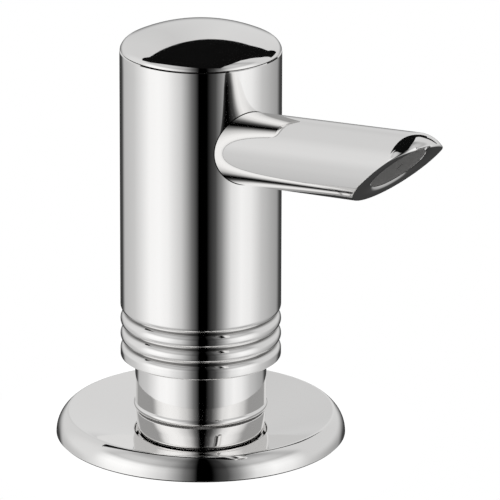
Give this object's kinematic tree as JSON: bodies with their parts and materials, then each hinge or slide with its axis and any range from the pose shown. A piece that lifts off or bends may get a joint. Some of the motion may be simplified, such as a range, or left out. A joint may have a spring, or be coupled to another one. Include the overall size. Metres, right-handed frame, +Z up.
{
  "type": "built-in soap dispenser",
  "caption": "Chromed deck-mounted soap dispenser: a cylindrical pump head with a slanted spout, ribbed grip, dished escutcheon, threaded shank and a soap bottle below the deck.",
  "frame": {"origin": "on the pump's axis, in the plane of the deck's top face that the base gasket rests on", "axes": "+Z up along the pump's axis, +X towards the spout at rest, +Y to its left"},
  "size_m": [0.1067, 0.066, 0.2985],
  "materials": {
    "chrome": "polished chrome plate",
    "silicone_grey": "satin grey silicone",
    "rubber_black": "matt black rubber",
    "plastic_white": "moulded natural plastic",
    "plastic_black": "moulded black plastic",
    "steel": "stainless steel",
    "brass": "turned brass with a cut thread",
    "bottle_plastic": "blown natural polyethylene",
    "tube_plastic": "drawn clear plastic tube"
  },
  "bodies": {
    "base": {"neck_sleeve": "chrome", "seat_gasket": "silicone_grey", "base_collar": "chrome", "escutcheon": "chrome", "base_gasket": "rubber_black", "shank": "brass", "deck_washer": "rubber_black", "friction_ring": "steel", "mounting_nut": "plastic_black", "bottle": "bottle_plastic", "bottle_gasket": "rubber_black", "dip_tube": "tube_plastic", "pump_closure": "plastic_white", "stem_wiper": "rubber_black", "pump_cylinder": "plastic_white", "pump_foot": "plastic_white", "ball_cage": "plastic_white", "return_spring": "steel"},
    "plunger": {"stem": "plastic_white", "stem_cap": "plastic_white", "stem_seal": "rubber_black", "piston": "plastic_white", "piston_seal": "rubber_black"},
    "head": {"head_cap": "chrome", "cap_seal": "rubber_black", "head_shell": "chrome", "spout": "chrome", "outlet_valve": "silicone_grey", "feed_tube": "plastic_white", "actuator_hub": "plastic_white", "guide_bush": "plastic_white"},
    "delivery_ball": {"outlet_ball": "steel"},
    "suction_ball": {"inlet_ball": "steel"}
  },
  "joints": [
    {"name": "pump_press", "type": "slide", "parent": "base", "child": "plunger", "axis": [0, 0, -1], "range_m": [0, 0.0085], "stiffness_N_per_m": 600, "springref_m": -0.012, "deforming": ["return_spring"]},
    {"name": "head_swivel", "type": "hinge", "parent": "plunger", "child": "head", "pos_m": [0, 0, 0.054], "axis": [0, 0, 1], "continuous": true},
    {"name": "outlet_ball_lift", "type": "slide", "parent": "plunger", "child": "delivery_ball", "axis": [0, 0, 1], "range_m": [0, 0.0015]},
    {"name": "inlet_ball_lift", "type": "slide", "parent": "base", "child": "suction_ball", "axis": [0, 0, 1], "range_m": [0, 0.0015]}
  ]
}
